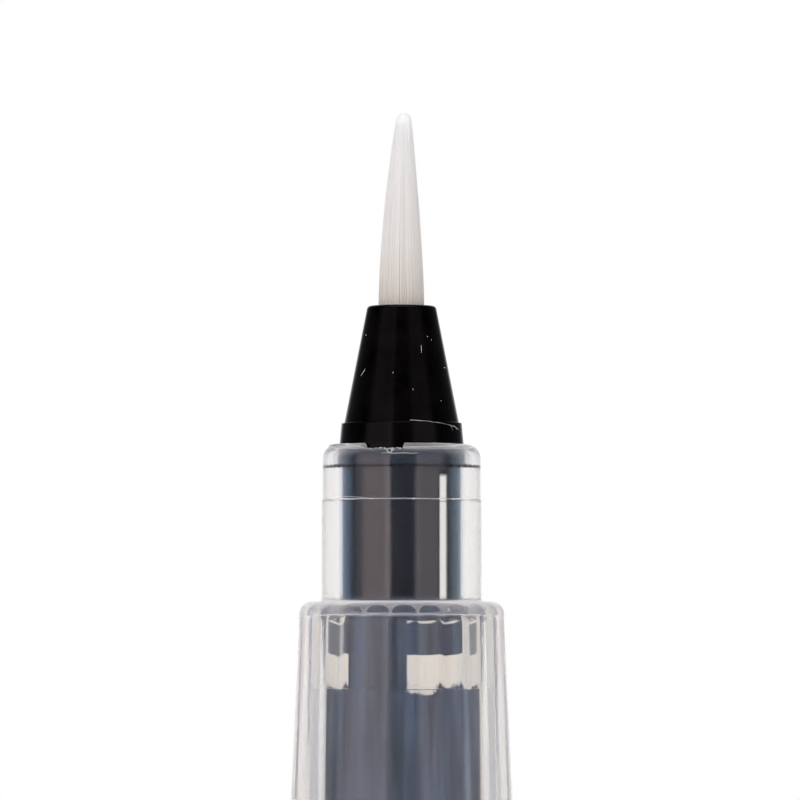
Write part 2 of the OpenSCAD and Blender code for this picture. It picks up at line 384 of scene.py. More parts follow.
def bevel(obj, width, segments, sharp):
    """Rounds every edge sharper than the angle by the width, in millimetres."""
    modifier = obj.modifiers.new("bevel", "BEVEL")
    modifier.width = width * MM
    modifier.segments = segments
    modifier.limit_method = "ANGLE"
    modifier.angle_limit = math.radians(sharp)


# ---------------- material helpers
def new_material(name):
    material = bpy.data.materials.new(name)
    material.use_nodes = True
    material.node_tree.nodes.clear()
    return material, material.node_tree


def node(tree, kind, inputs, **settings):
    """A new node. Each of its inputs gets a fixed value, or a link from another node's output."""
    made = tree.nodes.new(kind)
    for key, value in settings.items():
        setattr(made, key, value)
    for key, value in inputs.items():
        if isinstance(value, bpy.types.NodeSocket):
            tree.links.new(value, made.inputs[key])
        else:
            made.inputs[key].default_value = value
    return made


def surface(tree, shader):
    node(tree, "ShaderNodeOutputMaterial", {"Surface": shader})


def axes_of(tree, system="Object"):
    """The X, Y and Z of a coordinate system."""
    place = node(tree, "ShaderNodeTexCoord", {}).outputs[system]
    return node(tree, "ShaderNodeSeparateXYZ", {0: place}).outputs


def noise(tree, scale, detail=3.0, stretch=(1, 1, 1)):
    """Noise in object space, which may be stretched along the axes."""
    place = node(tree, "ShaderNodeTexCoord", {}).outputs["Object"]
    place = node(tree, "ShaderNodeMapping", {"Vector": place, "Scale": stretch}).outputs["Vector"]
    inputs = {"Vector": place, "Scale": scale, "Detail": detail}
    return node(tree, "ShaderNodeTexNoise", inputs).outputs["Fac"]


def ramp(tree, source, stops):
    """A ramp with (position, colour) stops. A single number stands for a grey."""
    made = node(tree, "ShaderNodeValToRGB", {"Fac": source})
    elements = made.color_ramp.elements
    while len(elements) < len(stops):
        elements.new(0.5)
    for element, (position, colour) in zip(elements, stops):
        element.position = position
        element.color = (*(colour if isinstance(colour, tuple) else (colour,) * 3), 1)
    return made.outputs["Color"]


def height_ramp(tree, heights, colours):
    """A ramp along the pen, with a colour or grey at each of the heights in millimetres."""
    z1, z2 = heights[0], heights[-1]
    risen = share(tree, axes_of(tree)["Z"], z1 * MM, z2 * MM)
    return ramp(tree, risen, [((z - z1) / (z2 - z1), colour) for z, colour in zip(heights, colours)])


def span(tree, source, lowest, highest):
    """Stretches a value between 0 and 1 to lie between the lowest and the highest."""
    inputs = {"Value": source, "To Min": lowest, "To Max": highest}
    return node(tree, "ShaderNodeMapRange", inputs).outputs["Result"]


def share(tree, source, start, end):
    """How far a value has come from start to end, as a number from 0 to 1."""
    inputs = {"Value": source, "From Min": start, "From Max": end}
    return node(tree, "ShaderNodeMapRange", inputs).outputs["Result"]


def reckon(tree, operation, *values):
    """One step of arithmetic."""
    return node(tree, "ShaderNodeMath", dict(enumerate(values)), operation=operation).outputs[0]


def blend(tree, factor, a, b, data_type="RGBA", blend_type="MIX"):
    """Turns a into b as the factor goes from 0 to 1."""
    inputs = {"Factor": factor, "A": a, "B": b}
    return node(tree, "ShaderNodeMix", inputs, data_type=data_type, blend_type=blend_type).outputs["Result"]


def multiply(tree, a, b):
    """Two colours multiplied."""
    return blend(tree, 1.0, a, b, blend_type="MULTIPLY")


def bump(tree, source, height, over=None):
    """A bump with its height in millimetres, laid over another if one is given."""
    inputs = {"Height": source, "Strength": 1.0, "Distance": height * MM}
    if over:
        inputs["Normal"] = over
    return node(tree, "ShaderNodeBump", inputs).outputs["Normal"]


def principled(tree, ior, colour, roughness, normal=None, transmission=0.0):
    inputs = {"IOR": ior, "Base Color": colour, "Roughness": roughness, "Transmission Weight": transmission}
    if normal:
        inputs["Normal"] = normal
    return node(tree, "ShaderNodeBsdfPrincipled", inputs).outputs[0]


def coloured(tree, kind, colour):
    """The output of a diffuse, translucent or background shader."""
    return node(tree, kind, {"Color": colour}).outputs[0]


def mixed(tree, factor, a, b):
    """Turns shader a into shader b as the factor goes from 0 to 1."""
    return node(tree, "ShaderNodeMixShader", {0: factor, 1: a, 2: b}).outputs[0]


# ---------------- materials
WHITE = (1, 1, 1, 1)
NECK_CLEAR = (0.975, 0.955, 0.93)
GRIP_CLEAR = (0.97, 0.92, 0.85)
BARREL_CLEAR = (0.9, 0.87, 0.85)
STYRENE = (0.97, 0.975, 0.98)
BLUE_HAZE = (0.54, 0.68, 1.0)
LILAC_HAZE = (0.92, 0.91, 0.96)
CREAM = (0.97, 0.925, 0.895)
DIM_CREAM = (0.55, 0.52, 0.5)

# The least and the greatest share of the haze in the flow bands round the axis
BAND_LEAST, BAND_MOST = 0.6, 1.45


def milky(name, levels, ripple=0.0015, ior=1.49):
    """Translucent plastic: clear and tinted inside, with a haze scattered back at its surfaces.

    Each level is (height, tint, haze colour, haze, roughness, how much the flow bands show). Two more
    values are the extra haze where the wall is seen slantwise, through more plastic, and its colour."""
    material, tree = new_material(name)
    heights, tint, haze_colour, haze, roughness, banded, *slanted = zip(*levels)

    def along(values):
        return height_ramp(tree, heights, values)

    streaks = ramp(tree, noise(tree, 500, 3, (1, 1, 0.06)), [(0.3, (0.97, 0.965, 0.96)), (0.7, 1)])
    grain = span(tree, noise(tree, 900, 2, (1, 1, 0.3)), 0.7, 1.3)
    body = principled(tree, ior, multiply(tree, along(tint), streaks),
                      reckon(tree, "MULTIPLY", grain, along(roughness)),
                      bump(tree, noise(tree, 420, 2, (1, 1, 0.1)), ripple), transmission=1.0)

    shown = along(banded)
    bands = ramp(tree, noise(tree, 1500, 2, (1, 1, 0.015)), [(0.38, BAND_LEAST / BAND_MOST), (0.62, 1)])
    banding = blend(tree, shown, 1.0, span(tree, bands, 0, BAND_MOST), "FLOAT")
    warmth = noise(tree, 1100, 2, (1, 1, 0.012))
    warmth = ramp(tree, warmth, [(0.4, (0.9, 0.96, 1)), (0.6, (1, 0.96, 0.92))])
    clouds = ramp(tree, noise(tree, 350, 4, (1, 1, 0.5)), [(0.25, 0.85), (0.75, 1)])
    hazy = multiply(tree, multiply(tree, along(haze_colour), clouds), blend(tree, shown, WHITE, warmth))
    milk = coloured(tree, "ShaderNodeBsdfDiffuse", hazy)
    shader = mixed(tree, reckon(tree, "MULTIPLY", along(haze), banding), body, milk)

    if slanted:
        extra, extra_colour = slanted
        slant = node(tree, "ShaderNodeLayerWeight", {"Blend": 0.5}).outputs["Facing"]
        factor = reckon(tree, "MULTIPLY", share(tree, slant, 0.2, 0.65), along(extra))
        shader = mixed(tree, factor, shader, coloured(tree, "ShaderNodeBsdfDiffuse", along(extra_colour)))
    surface(tree, shader)
    return material


def milky_head():
    """Blurred grip below, then the shoulder, the clear neck, and the whiter rim."""
    grip, neck, rim = (GRIP_CLEAR, BLUE_HAZE), (NECK_CLEAR, BLUE_HAZE), (NECK_CLEAR, LILAC_HAZE)
    return milky("milky_head", (
        (SKIRT_Z, *grip, 0.07, 0.18, 1, 0.28, DIM_CREAM),
        (SPONGE_Z2 - 2, *grip, 0.07, 0.1, 1, 0.24, CREAM),
        (SPONGE_Z2, *grip, 0.07, 0.07, 1, 0.24, CREAM),
        (SHOULDER_Z - 1.2, *grip, 0.07, 0.08, 1, 0.24, CREAM),
        (SHOULDER_Z - 0.65, *grip, 0.08, 0.09, 0.1, 0.42, CREAM),
        (SHOULDER_Z + 0.05, *grip, 0.08, 0.09, 0, 0.38, CREAM),
        (SHOULDER_Z + 0.35, *neck, 0.014, 0.06, 0.3, 0.05, CREAM),
        (RIM_Z - 1.6, *neck, 0.014, 0.06, 0.3, 0.05, CREAM),
        (RIM_Z - 1.2, *neck, 0.025, 0.1, 0, 0.2, LILAC_HAZE),
        (RIM_Z - 0.6, *neck, 0.035, 0.12, 0, 0.2, LILAC_HAZE),
        (RIM_Z - 0.38, *rim, 0.05, 0.15, 0, 0.14, LILAC_HAZE),
        (RIM_Z, *rim, 0.1, 0.15, 0, 0.1, LILAC_HAZE)), ripple=0.0002)


def milky_barrel():
    look = (BARREL_CLEAR, BLUE_HAZE)
    return milky("milky_barrel", ((POST_Z, *look, 0.08, 0.12, 0.5), (TAPER_Z, *look, 0.07, 0.12, 0.5)))


def clear_plastic(name, haze, roughness, ior=1.49):
    """Clear plastic with a trace of haze, the same at all heights."""
    look = (STYRENE, BLUE_HAZE, haze, roughness, 0)
    return milky(name, ((0, *look), (TIP_Z, *look)), ripple=0.0003, ior=ior)


def black_gloss():
    """Polished black plastic with a faint grain and waviness."""
    material, tree = new_material("black_gloss")
    deep, worn = (0.0006, 0.0004, 0.0005), (0.003, 0.002, 0.0022)
    colour = ramp(tree, noise(tree, 700, 4), [(0.35, deep), (0.8, worn)])
    roughness = span(tree, noise(tree, 900, 5, (1, 1, 0.2)), 0.1, 0.3)
    fine = bump(tree, noise(tree, 2600, 3, (1, 1, 0.35)), 0.0012)
    wavy = bump(tree, noise(tree, 300, 2), 0.004, fine)
    surface(tree, principled(tree, 1.24, colour, roughness, wavy))
    return material


def black_core():
    """Semi-gloss black with faint flow lines along the length."""
    material, tree = new_material("black_core")
    lines = noise(tree, 900, 3, (1, 1, 0.04))
    colour = ramp(tree, lines, [(0.3, (0.002, 0.002, 0.003)), (0.75, (0.007, 0.0065, 0.008))])
    surface(tree, principled(tree, 1.5, colour, span(tree, lines, 0.14, 0.3), bump(tree, lines, 0.004)))
    return material


def nylon():
    """White filaments: each has its own shade, and some light comes through them."""
    material, tree = new_material("nylon_bristle")
    shade = node(tree, "ShaderNodeAttribute", {}, attribute_name="shade").outputs["Fac"]
    own = ramp(tree, shade, [(0, (0.9, 0.89, 0.88)), (0.5, (0.98, 0.975, 0.97)), (1, 1)])
    heights = (MOUTH_Z, MOUTH_Z + (TIP_Z - MOUTH_Z) * 0.3, TIP_Z)
    along = height_ramp(tree, heights, ((0.8, 0.75, 0.7), (0.89, 0.87, 0.85), 0.95))
    colour = multiply(tree, along, own)
    roughness = span(tree, noise(tree, 3000, 2, (1, 1, 0.1)), 0.35, 0.55)
    glow = coloured(tree, "ShaderNodeBsdfTranslucent", colour)
    surface(tree, mixed(tree, 0.45, principled(tree, 1.53, colour, roughness), glow))
    return material


def fibre(name, dark, light, rough=0.9):
    """Bonded fibre: fine strands along the length with a mottled shade."""
    material, tree = new_material(name)
    strands = noise(tree, 2600, 4, (1, 1, 0.12))
    blotch = noise(tree, 420, 3)
    colour = ramp(tree, blend(tree, 0.45, strands, blotch, "FLOAT"), [(0.35, dark), (0.65, light)])
    roughness = span(tree, blotch, rough - 0.1, rough)
    surface(tree, principled(tree, 1.4, colour, roughness, bump(tree, strands, 0.03)))
    return material


def plain(name, dark, light, rough, height=0.004):
    """An opaque moulded or rubber surface with a fine grain."""
    material, tree = new_material(name)
    colour = ramp(tree, noise(tree, 500, 4), [(0.3, dark), (0.7, light)])
    roughness = span(tree, noise(tree, 1500, 3), rough * 0.85, rough * 1.1)
    surface(tree, principled(tree, 1.48, colour, roughness, bump(tree, noise(tree, 3500, 2), height)))
    return material


MILKY_HEAD = milky_head()
MILKY_BARREL = milky_barrel()
CLEAR = clear_plastic("clear_styrene", 0.015, 0.02)
# The sleeve's plastic bends light only a little, so its rim doesn't show as a line
FILM = clear_plastic("clear_film", 0.01, 0.03, 1.06)
BLACK_GLOSS = black_gloss()
BLACK_CORE = black_core()
NYLON = nylon()
# Pale flash finish, which also paints a highlight line below the near notch
FLASH_AND_PAINTED_HIGHLIGHT = plain("moulding_flash_and_painted_highlight", (0.7, 0.72, 0.76), (0.86, 0.87, 0.9), 0.35, 0.002)
DARK_FIBRE = fibre("dark_fibre", (0.012, 0.014, 0.022), (0.06, 0.065, 0.085))
WHITE_FIBRE = fibre("white_fibre", (0.62, 0.56, 0.5), (0.85, 0.8, 0.74))
RUBBER = plain("black_rubber", (0.012, 0.012, 0.013), (0.025, 0.024, 0.024), 0.7, 0.008)
WHITE_PLASTIC = plain("white_plastic", (0.84, 0.835, 0.82), (0.9, 0.895, 0.885), 0.42)


def placed(obj, body, slot, *replaced):
    """Puts a finished piece on its body, in the place of CAD nodes. The slot is not used."""
    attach(obj, body)
    if replaced:
        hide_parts(*replaced)


# ---------------- front section
def step_up(t):
    """Rises smoothly from 0 to 1 as t does."""
    t = min(max(t, 0.0), 1.0)
    return t * t * (3 - 2 * t)


NOTCH_ANGLES = (-106.0, 14.0, 134.0)
NOTCH_HALF = 1.32
NOTCH_DEPTH = 0.34


def notch_floor(a):
    """Height of the rim's top at an angle: it drops to the notch floor over a rounded edge."""
    height = RIM_Z
    for centre in NOTCH_ANGLES:
        off = abs((math.degrees(a) - centre + 180) % 360 - 180)
        across = math.radians(off) * LIP_R * 1.12
        ragged = 0.025 * math.sin(31 * a) + 0.018 * math.sin(67 * a + 1)
        inside = 1 - step_up((across - NOTCH_HALF + 0.12) / 0.2)
        height = min(height, RIM_Z - (NOTCH_DEPTH + ragged) * inside)
    return height


def flute_depth(z, a):
    """How deep the flutes are: soft waves, turned by FLUTE_TURN degrees, that end above in scoops."""
    pitch = math.tau / FLUTES
    across = ((a / pitch - FLUTE_TURN * FLUTES / 360 + 0.5) % 1 - 0.5) * 2 / FLUTE_SHARE
    over = max(0.0, (z - FLUTE_TOP_Z + FLUTE_ROUND) / FLUTE_ROUND)
    scoop = FLUTE_TOP_DEPTH * max(0.0, 1 - across * across - over * over)
    wave = FLUTE_DEPTH * (0.5 + 0.5 * math.cos(math.pi * across * FLUTE_SHARE))
    return wave + (scoop - wave) * step_up((z - FLUTE_TOP_Z + 1.1) / 0.5)


def rim_lip(r, z, a):
    """On the left the rim's lip stands proud of the rounding, as a step."""
    side = step_up((-math.cos(a) - 0.72) / 0.12)
    up = step_up((z - (RIM_Z - 0.44)) / 0.07)
    proud = LIP_STEP_R - 0.09 * step_up((z - (RIM_Z - 0.12)) / 0.12) ** 2
    return r + side * up * max(0.0, proud - r)


def front_section():
    """Neck, shoulder and fluted skirt, with the thread inside."""
    slope = (SKIRT_END_R - SKIRT_TOP_R) / (SHOULDER_Z - SKIRT_Z)
    slope_z = [SHOULDER_Z - SHOULDER_ROUND - 0.02 - 0.06 * k for k in range(5, 0, -1)]
    side = [(SKIRT_TOP_R + slope * (SHOULDER_Z - z), z) for z in slope_z]
    outline = rounded([
        (THREAD_GROOVE_R, SKIRT_Z, 0.12), (SKIRT_END_R, SKIRT_Z, 0.18), *side,
        (SKIRT_TOP_R + slope * 0.4, SHOULDER_Z, SHOULDER_ROUND), (NECK_R, SHOULDER_Z, 0.14),
        (NECK_R, SEAM_Z, 0.03), (NECK_UPPER_R, SEAM_Z + 0.06, 0.03),
        (NECK_UPPER_R, RIM_Z, RIM_ROUND), (LIP_R, RIM_Z, 0.08),
        (LIP_R, RIM_Z - LIP_T, 0.05), (GROOVE_R, RIM_Z - LIP_T, 0.08), (GROOVE_R, SEAT_Z, 0.08),
        (NECK_BORE_R, SEAT_Z, 0.05), (NECK_BORE_R, CEILING_Z, 0.12), (SKIRT_BORE_R, CEILING_Z, 0.15),
        (SKIRT_BORE_R, THREAD_TOP_Z, 0.06), (THREAD_GROOVE_R, THREAD_TOP_Z, 0.06)], steps=12)

    def shape(r, z, a):
        if r > LIP_R + 0.12 and z > RIM_Z - 0.5 and z > SEAT_Z + 1:
            r = rim_lip(r, z, a)
        if z > RIM_Z - 0.7:
            z = min(z, notch_floor(a))
        if r > SKIRT_TOP_R - SHOULDER_ROUND and z > SKIRT_Z + 0.3:
            r -= flute_depth(z, a)
        if abs(z - SEAM_Z) < 0.2 and r > NECK_BORE_R + 0.5:
            z += seam_rise(a)
        if abs(z - SEAT_Z) < 0.1 and r > NECK_BORE_R + 0.2:
            z += 0.02 * math.sin(47 * a) + 0.02 * math.sin(29 * a + 2)
        return r, z

    skirt = lathe(outline, FLUTES * 24, shape)
    ridge = thread_ridge(THREAD_GROOVE_R, SPIGOT_R + 0.12, math.pi)
    obj = make("front_section_shell", joined([skirt, ridge]), MILKY_HEAD, 48)
    placed(obj, "head", "milky_head", "front_section")


def seam_rise(a):
    """The parting line is not quite level."""
    return 0.05 * max(0.0, -math.sin(a)) - 0.03 + 0.01 * math.sin(23 * a)


# Specks on the parting line: x and size
SPECKS = ((-1.78, 0.06), (0.72, 0.07), (3.1, 0.04), (-2.9, 0.035))

# Curls of flash in the near notch: x of both ends, how far each hangs down, and its radius round the axis
CURLS = ((-1.35, -0.2, 0.02, 4.2), (-1.25, -0.1, 0.12, 4.28), (-1.05, -0.35, 0.3, 4.34),
         (-0.75, 0.0, 0.06, 4.24), (-2.5, -1.2, 0.03, 4.22))

# A stray hair on the right of the neck: x and the height above the shoulder, along it
HAIR = ((4.12, 3.32), (4.16, 3.5), (4.24, 3.68), (4.34, 3.8), (4.38, 4.0), (4.46, 4.12),
        (4.56, 4.1), (4.62, 4.26), (4.66, 4.5), (4.72, 4.7), (4.74, 4.92))


def seam_thread(rng, first, last, r, lift, thin, thick):
    """A thread of flash along the parting line, between two of its 180 steps, rising by lift midway."""
    path, radii = [], []
    for k in range(first, last + 1):
        a = math.tau * k / 180
        away = math.sin(math.pi * (k - first) / (last - first)) if lift else 1
        z = SEAM_Z + 0.02 + seam_rise(a) + lift * away + rng.uniform(-0.008, 0.008)
        path.append((r * math.cos(a), r * math.sin(a), z))
        radii.append(thin if lift else rng.uniform(thin, thick))
    return tube(path, radii, 6)


def speck(x, size):
    """Two crossed slivers on the parting line."""
    x, y, z = near_side(NECK_R + 0.01, x, SEAM_Z + 0.03)
    z += seam_rise(math.atan2(y, x))
    top = (x, y - 0.02, z)
    radii = [0.01, 0.03, 0.01]
    return [tube([(x, y, z - size), top, (x, y, z + size)], radii, 5),
            tube([(x - size, y, z), top, (x + size, y, z)], radii, 5)]


def curl(rng, x1, x2, dip, reach):
    """A ragged curl of flash that hangs in the notch."""
    floor_z = RIM_Z - NOTCH_DEPTH
    path, radii = [], []
    for k in range(15):
        t = k / 14
        x = x1 + (x2 - x1) * t + 0.02 * math.sin(17 * t + x1)
        ragged = 0.03 * math.sin(29 * t + 5 * x1) + rng.uniform(-0.02, 0.02)
        z = floor_z - dip * math.sin(math.pi * t) ** 2 + ragged
        path.append(near_side(reach + (floor_z - z) * 0.45, x, z))
        radii.append(rng.uniform(0.018, 0.034) * (1 if 0 < k < 14 else 0.4))
    return tube(path, radii, 6)


def notch_highlight_line():
    """A thin pale line below the near notch, inside the wall: a painted highlight."""
    path, radii = [], []
    for k in range(19):
        t = k / 18
        r = NECK_UPPER_R - 0.3 + 0.02 * math.sin(9 * t)
        path.append(near_side(r, -1.2 + 2.2 * t, RIM_Z - 0.66 + 0.012 * math.sin(13 * t)))
        radii.append(0.022 * math.sin(math.pi * min(max(t, 0.03), 0.97)) ** 0.5)
    return tube(path, radii, 6)


def flash():
    """Thin moulding flash: threads and specks on the parting line, curls in the near notch, and a hair,
    with a painted highlight line below the notch.
    """
    rng = random.Random(21)
    parts = [seam_thread(rng, 0, 180, NECK_R + 0.012, 0, 0.005, 0.012),
             seam_thread(rng, 100, 124, NECK_R + 0.004, 0.16, 0.007, 0.007)]
    for x, size in SPECKS:
        parts += speck(x, size)
    parts += [curl(rng, *row) for row in CURLS]
    # The pale line below the notch is a painted highlight, not flash
    parts.append(notch_highlight_line())
    hair = [near_side(NECK_R + 0.008, x, SHOULDER_Z + up) for x, up in HAIR]
    parts.append(tube(hair, [0.004, *[0.009] * (len(hair) - 2), 0.004], 5))
    obj = make("front_section_flash_and_highlight", joined(parts), FLASH_AND_PAINTED_HIGHLIGHT, 60)
    placed(obj, "head", "milky_head")


# ---------------- nose, core and fibre parts
def nose():
    """Black cone with its ring and snap flange. The wavy foot touches the milky wall as a dark line."""
    chamber_z = MOUTH_Z - MOUTH_BORE_LEN
    outline = rounded([
        (MOUTH_BORE_R, MOUTH_Z, 0.1), (MOUTH_BORE_R, chamber_z), (NOSE_BORE_R, chamber_z),
        (NOSE_BORE_R, SOCKET_TOP_Z), (SOCKET_R, SOCKET_TOP_Z), (SOCKET_R, FLANGE_Z), (3.8, FLANGE_Z),
        (FOOT_R, SEAT_Z - 0.05), (FOOT_R, SEAT_Z + 0.1), (FLANGE_R, SEAT_Z + 0.15),
        (FLANGE_R, FLANGE_TOP_Z, 0.05), (RING_R2, FLANGE_TOP_Z), (RING_R2, RIM_Z),
        (RING_R1, RING_TOP_Z, 0.06), (NOSE_END_R, RING_TOP_Z, 0.04), (NOSE_TOP_R, MOUTH_Z, 0.24)], steps=9)

    def shape(r, z, a):
        if abs(z - RING_TOP_Z) < 0.15 and r > 3.2:
            z += 0.02 * math.sin(a + 0.6) + 0.012 * math.sin(9 * a)
        if r > 4:
            z += 0.05 * math.sin(53 * a + 2 * math.sin(5 * a)) * (1 if z > SEAT_Z else -0.5)
            z += 0.03 * math.sin(97 * a + 1) * (1 if z > SEAT_Z else 0.6)
        return r, z

    obj = make("nose_cone_shell", lathe(outline, 256, shape), BLACK_GLOSS, 50)
    placed(obj, "head", "black_gloss", "nose_cone")


def cone_radius(z):
    return NOSE_END_R + (NOSE_TOP_R - NOSE_END_R) * (z - RING_TOP_Z) / (MOUTH_Z - RING_TOP_Z)


# Scuffs on the near side of the cone: x and height above the ring at both ends, and the thickness
SCUFFS = (
    (-2.2, 3.2, -2.46, 2.8, 0.016), (1.17, 4.65, 1.2, 4.15, 0.012), (2.56, 3.3, 2.62, 3.32, 0.02),
    (-2.16, 5.32, -2.16, 5.22, 0.016), (1.54, 5.18, 1.58, 5.14, 0.018), (1.8, 5.0, 1.78, 4.94, 0.014),
    (2.38, 1.3, 2.4, 1.24, 0.016), (-0.5, 3.0, -0.52, 2.9, 0.01), (0.66, 2.0, 0.7, 1.88, 0.01))

# The frayed burr along the ring's edge: x and the height above the ring, along each strand
BURR = (
    ((0.5, 0.07), (1.7, 0.0), (2.7, -0.14), (3.2, -0.28), (3.6, -0.6)),
    ((2.95, -0.16), (3.06, -0.48), (3.1, -0.6)), ((3.1, -0.22), (3.3, -0.34), (3.36, -0.5)),
    ((3.3, -0.32), (3.6, -0.58)))


def scuffs():
    """Bright scuffs on the cone, and the frayed burr at its ring on the right."""
    rng = random.Random(5)
    parts = []
    for x1, z1, x2, z2, thick in SCUFFS:
        path = []
        for k in range(5):
            t = k / 4
            z = RING_TOP_Z + z1 + (z2 - z1) * t
            path.append(near_side(cone_radius(z) + 0.002, x1 + (x2 - x1) * t, z))
        parts.append(tube(path, [thick * part for part in (0.3, 0.7, 0.75, 0.7, 0.3)], 5))
    for strand in BURR:
        path, radii = [], []
        for (x1, z1), (x2, z2) in zip(strand, strand[1:]):
            for k in range(4):
                t = k / 4
                r = RING_R1 + 0.03 + rng.uniform(0, 0.02)
                z = RING_TOP_Z + z1 + (z2 - z1) * t + rng.uniform(-0.012, 0.012)
                path.append(near_side(r, x1 + (x2 - x1) * t, z))
                radii.append(rng.uniform(0.003, 0.009))
        parts.append(tube(path, radii, 5))
    obj = make("nose_cone_scuffs", joined(parts), FLASH_AND_PAINTED_HIGHLIGHT, 60)
    placed(obj, "head", "black_gloss")


def beside_axis(geometry, r_in, r_out):
    """Moves the inside of a turned shape over to the wick, which runs beside the axis."""
    verts, faces = geometry
    moved = []
    for x, y, z in verts:
        nearness = 1 - step_up((math.hypot(x, y) - r_in) / (r_out - r_in))
        moved.append((x + WICK_X * nearness, y, z))
    return moved, faces


def slit_block(z1, z2, narrow=0.0):
    """The slanted slit on one side of the core and the stop ring."""
    verts, faces = block((SLIT_X1 + narrow, -5, z1), (SLIT_X2 - narrow, 5, z2))
    return [(x + SLIT_SLANT * (y - SLIT_Y), y, z) for x, y, z in verts], faces


def feed_core():
    """Black tube in the neck, split by the slit, with a leg down into the sponge beside the axis."""
    base_z, top_z, plug_z = BAND_Z2 + 0.14, SEAT_Z - 0.03, SOCKET_TOP_Z - 0.02
    outline = rounded([
        (WICK_R + 0.02, RIM_Z - 0.5), (WICK_R + 0.02, base_z),
        (BAND_R - 0.08, base_z, 0.03), (BAND_R - 0.08, CEILING_Z - 0.03, 0.05), (CORE_R, CEILING_Z - 0.03),
        (CORE_R, top_z, 0.1), (PLUG_R, top_z), (PLUG_R, plug_z, 0.1), (PLUG_TIP_R, plug_z),
        (PLUG_TIP_R, PLUG_TOP_Z, 0.08), (CHANNEL_R, PLUG_TOP_Z), (CHANNEL_R, RIM_Z - 0.46)], steps=5)
    body = beside_axis(lathe(outline, 192), WICK_R + 0.1, BAND_BORE_R)
    obj = make("feed_core_body", body, BLACK_CORE, 40)
    cut(obj, slit_block(CEILING_Z - 0.05, SLIT_TOP_Z))
    cut(obj, slit_block(BAND_Z2 - 1, CEILING_Z, 0.15))
    foot_z, hip_z = LEG_Z - LEG_SUNK, BAND_Z2 + 0.2
    leg = rounded([(2.0, foot_z), (BAND_R, foot_z), (BAND_R, hip_z), (2.0, hip_z)])
    piece = make("feed_core_leg", lathe(leg, 192), BLACK_CORE, 40)
    cut(piece, block((LEG_X1, -6, LEG_Z - 1), (LEG_X2, LEG_Y, BAND_Z2 + 1)), "INTERSECT")
    placed(obj, "head", "black_core", "feed_core")
    placed(piece, "head", "black_core")


def stop_ring():
    """Black ring under the core, open where the leg passes and nearly cut through by the slit."""
    top_z = BAND_Z2 - 0.02
    outline = rounded([(BAND_BORE_R, BAND_Z1, 0.05), (BAND_R, BAND_Z1, 0.06),
                       (BAND_R, top_z, 0.06), (BAND_BORE_R, top_z, 0.05)])
    obj = make("stop_ring_body", lathe(outline, 192), BLACK_CORE, 40)
    cut(obj, block((LEG_X1 - 0.03, -6, BAND_Z1 - 1), (LEG_X2 + 0.03, -0.7, BAND_Z2 + 1)))
    cut(obj, slit_block(BAND_Z1 + BAND_BRIDGE, BAND_Z2 + 1, 0.15))
    placed(obj, "head", "black_core", "stop_ring")


def wick():
    """White rod beside the axis, and a thinner one on the axis above it."""
    rod = rounded([(0, WICK_Z1), (WICK_R, WICK_Z1, 0.1), (WICK_R, RIM_Z - 0.52, 0.1), (0, RIM_Z - 0.52)])
    tip = rounded([(0, RIM_Z - 0.9), (0.5, RIM_Z - 0.9), (0.5, MOUTH_Z - 3.4, 0.1), (0, MOUTH_Z - 3.4)])
    verts, faces = lathe(rod, 96)
    rod = [(x + WICK_X, y, z) for x, y, z in verts], faces
    obj = make("relay_wick_rod", joined([rod, lathe(tip, 96)]), WHITE_FIBRE, 40)
    placed(obj, "head", "white_fibre", "relay_wick")


def sponge_top(x):
    """The sponge's top is uneven, and pressed lower beside the leg."""
    dip = step_up((x - 0.1) / 0.25) * (1 - step_up((x - 1.7) / 0.5))
    lump = 0.04 * math.sin(5 * x + 1) + 0.03 * math.sin(17 * x)
    return SPONGE_Z2 - 0.1 - 0.58 * dip + lump * 0.8


def sponge_hair(rough):
    """One fibre that stands up from the sponge's top, and stays within its side."""
    a = rough.uniform(0, math.tau)
    r = SPONGE_R * math.sqrt(rough.uniform(0.3, 0.97))
    x, y = r * math.cos(a), r * math.sin(a)
    length = rough.uniform(0.14, 0.28) if rough.random() < 0.75 else rough.uniform(0.36, 0.55)
    lean = Vector((rough.uniform(-0.45, 0.45), rough.uniform(-0.45, 0.45), 1)).normalized()
    root = Vector((x, y, sponge_top(x) - 0.12))
    curl_to = Vector((rough.uniform(-1, 1), rough.uniform(-1, 1), 0)) * 0.05
    limit = SPONGE_R - 0.02
    path = []
    for k in range(4):
        t = k / 3
        q = root + lean * length * t + curl_to * t * t
        flat = math.hypot(q.x, q.y)
        if flat > limit:
            q.x, q.y = q.x * limit / flat, q.y * limit / flat
        path.append(q)
    thick = rough.uniform(0.035, 0.06)
    return tube(path, [thick, thick * 0.9, thick * 0.7, thick * 0.25], 4)


def sponge():
    """Dark fibre plug with a rough side, an uneven top and a hole for the wick."""
    rows = [SPONGE_Z1 + (SPONGE_Z2 - SPONGE_Z1) * k / 14 for k in range(14)]
    hole = WICK_R + 0.05
    crown = [SPONGE_R - 0.1, *[hole + (SPONGE_R - 0.3 - hole) * k / 9 for k in range(9, -1, -1)]]
    outline = [(0, SPONGE_Z1), *[(SPONGE_R - 0.02, z) for z in rows], *[(r, SPONGE_Z2) for r in crown],
               (hole, WICK_Z1 - 0.03), (0, WICK_Z1 - 0.03)]
    rough = random.Random(4)

    def shape(r, z, a):
        if r > 4:
            r -= 0.02 + 0.02 * math.sin(41 * a + z) + rough.uniform(0, 0.02)
        return r, z

    hairs = [sponge_hair(rough) for _ in range(260)]
    verts, faces = beside_axis(lathe(outline, 160, shape), hole + 0.01, 4.2)
    body = []
    for x, y, z in verts:
        on_top = z > SPONGE_Z2 - 0.01
        body.append((x, y, sponge_top(x) + rough.uniform(-0.06, 0.04) if on_top else z))
    obj = make("wick_sponge_fibre", joined([(body, faces), *hairs]), DARK_FIBRE, 60)
    placed(obj, "head", "dark_fibre", "wick_sponge")


